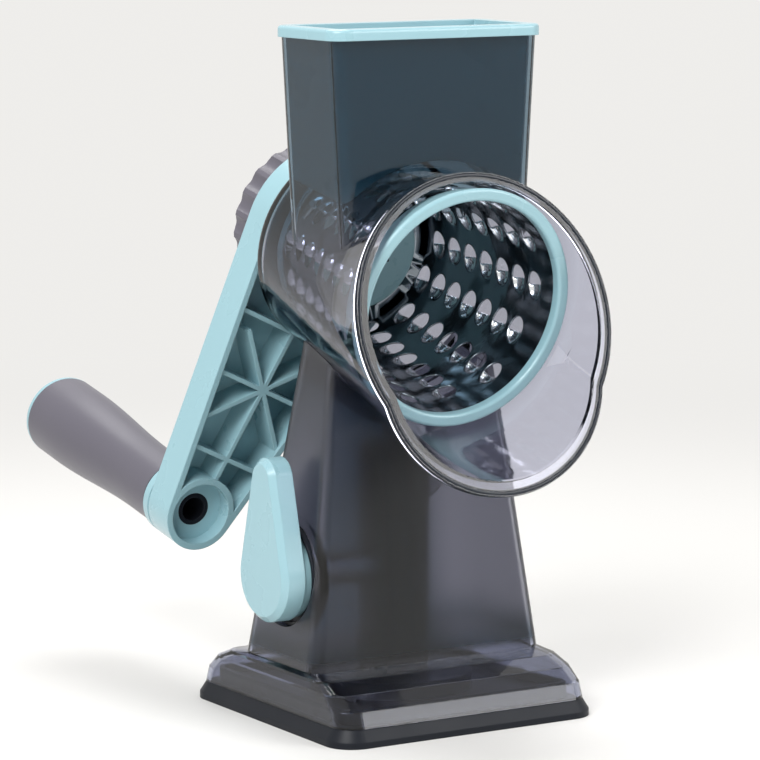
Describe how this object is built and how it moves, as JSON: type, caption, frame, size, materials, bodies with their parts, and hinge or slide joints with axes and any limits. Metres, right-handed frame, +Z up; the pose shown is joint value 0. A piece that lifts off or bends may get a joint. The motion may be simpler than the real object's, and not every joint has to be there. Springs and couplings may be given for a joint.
{
  "type": "rotary food shredder",
  "caption": "Hand cranked rotary shredder: feed hopper with pusher over a bladed steel drum in a tilted barrel, crank with turning grip, and a suction base locked by a side lever.",
  "frame": {"origin": "centre of the foot's underside, where it stands", "axes": "+Z up; the drum's mouth faces -Y; the crank is at +Y and the suction lever at -X"},
  "size_m": [0.1374, 0.2859, 0.2852],
  "materials": {
    "black_plastic": "satin",
    "black_rubber": "matt",
    "dark_grip": "satin",
    "smoke": "clear smoked, gloss",
    "steel": "bright",
    "teal": "gloss",
    "zinc": "satin"
  },
  "bodies": {
    "stand": {"suction_foot": "black_rubber", "stand_shell": "smoke", "housing_shell": "smoke", "rear_bush": "black_plastic", "base_tray": "black_plastic", "lever_bush": "black_plastic"},
    "drive": {"drum_cone": "steel", "drum_ring": "teal", "drum_hub": "teal", "drive_spindle": "teal", "thrust_washer": "black_plastic", "crank_arm": "teal", "grip_axle": "black_plastic", "grip_retainer": "zinc", "grip_screw": "zinc"},
    "knob": {"lock_knob": "dark_grip", "knob_stem": "zinc"},
    "grip": {"grip_sleeve": "dark_grip", "grip_end_cap": "teal"},
    "pusher": {"food_pusher": "teal"},
    "lever": {"lock_lever": "teal", "cam_shaft": "zinc", "shaft_clip": "zinc"},
    "plunger": {"plunger_stem": "black_plastic", "pressure_disc": "zinc", "suction_cup": "black_rubber"}
  },
  "joints": [
    {"name": "crank_turn", "type": "hinge", "parent": "stand", "child": "drive", "pos_m": [0, -0.0541, 0.1731], "axis": [0, 0.9798, 0.1999], "continuous": true},
    {"name": "knob_release", "type": "hinge", "parent": "drive", "child": "knob", "pos_m": [0, -0.0541, 0.1731], "axis": [0, 0.9798, 0.1999], "range_deg": [0, 90]},
    {"name": "grip_turn", "type": "hinge", "parent": "drive", "child": "grip", "pos_m": [-0.0569, -0.03063, 0.05807], "axis": [0, 0.9798, 0.1999], "continuous": true},
    {"name": "pusher_lift", "type": "slide", "parent": "stand", "child": "pusher", "axis": [0, 0, 1], "range_m": [0, 0.06]},
    {"name": "suction_lever_turn", "type": "hinge", "parent": "stand", "child": "lever", "pos_m": [-0.05, 0, 0.061], "axis": [1, 0, 0], "range_deg": [0, 90]},
    {"name": "plunger_lift", "type": "slide", "parent": "stand", "child": "plunger", "axis": [0, 0, 1], "range_m": [0, 0.0041]}
  ],
  "couplings": [
    {"joint": "plunger_lift", "follows": "suction_lever_turn", "m_per_rad": 0.0025465}
  ]
}
